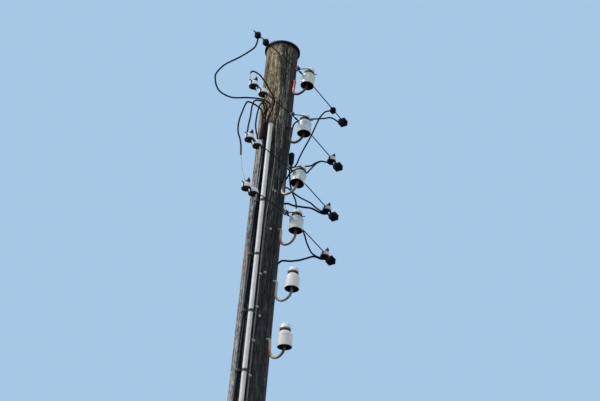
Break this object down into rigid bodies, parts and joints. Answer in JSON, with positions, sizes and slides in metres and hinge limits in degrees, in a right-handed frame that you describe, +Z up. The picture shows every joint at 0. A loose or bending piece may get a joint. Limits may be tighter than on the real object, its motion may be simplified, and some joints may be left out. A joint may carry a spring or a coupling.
{
  "type": "wooden utility pole",
  "caption": "Round wooden low-voltage line pole with a sheet cap, bell insulators on swan-neck hooks, tap clamps, a conduit and cables up the pole",
  "frame": {"origin": "Centre of the pole's foot face, at ground level.", "axes": "+Z up along the pole; +X the way the insulator hooks point; the line runs along Y."},
  "size_m": [0.4044, 1.1197, 7.6153],
  "materials": {
    "weathered_wood": "weathered round timber",
    "cap_sheet": "dark coated sheet",
    "nail_steel": "galvanised, dull",
    "hook_steel": "galvanised, rusty at the bends",
    "porcelain": "white glaze",
    "tie_wire": "weathered soft wire",
    "line_wire": "weathered stranded wire",
    "clamp_alloy": "dull cast alloy",
    "hood_plastic": "light grey, weathered",
    "rusty_metal": "dark red-brown",
    "bolt_steel": "dull, dark",
    "black_plastic": "black",
    "black_cable": "black insulation",
    "conduit_plastic": "light grey",
    "boot_rubber": "black",
    "strap_steel": "galvanised strip",
    "grey_cable": "grey sheath",
    "clip_metal": "bright"
  },
  "bodies": {
    "root": {"pole_shaft": "weathered_wood", "pole_cap": "cap_sheet", "cap_nails": "nail_steel", "hook_1": "hook_steel", "hook_2": "hook_steel", "hook_3": "hook_steel", "hook_4": "hook_steel", "hook_5": "hook_steel", "hook_6": "hook_steel", "insulator_1": "porcelain", "insulator_2": "porcelain", "insulator_3": "porcelain", "insulator_4": "porcelain", "insulator_5": "porcelain", "insulator_6": "porcelain", "tie_1": "tie_wire", "tie_2": "tie_wire", "tie_3": "tie_wire", "tie_4": "tie_wire", "tie_5": "tie_wire", "tie_6": "tie_wire", "conductor_1": "line_wire", "conductor_2": "line_wire", "conductor_3": "line_wire", "conductor_4": "line_wire", "binding_clamps": "clamp_alloy", "clamp_hoods": "hood_plastic", "clamp_cores": "rusty_metal", "clamp_bolts": "bolt_steel", "tap_connectors": "black_plastic", "tap_bolts": "bolt_steel", "tap_cables_left": "black_cable", "tap_cables_right": "black_cable", "conduit": "conduit_plastic", "conduit_cap": "conduit_plastic", "cable_bundle": "black_cable", "bundle_boot": "boot_rubber", "rear_bundle": "black_cable", "side_boot": "boot_rubber", "riser_straps": "strap_steel", "rear_straps": "strap_steel", "thin_cable": "grey_cable", "cable_clips": "clip_metal"}
  },
  "joints": []
}
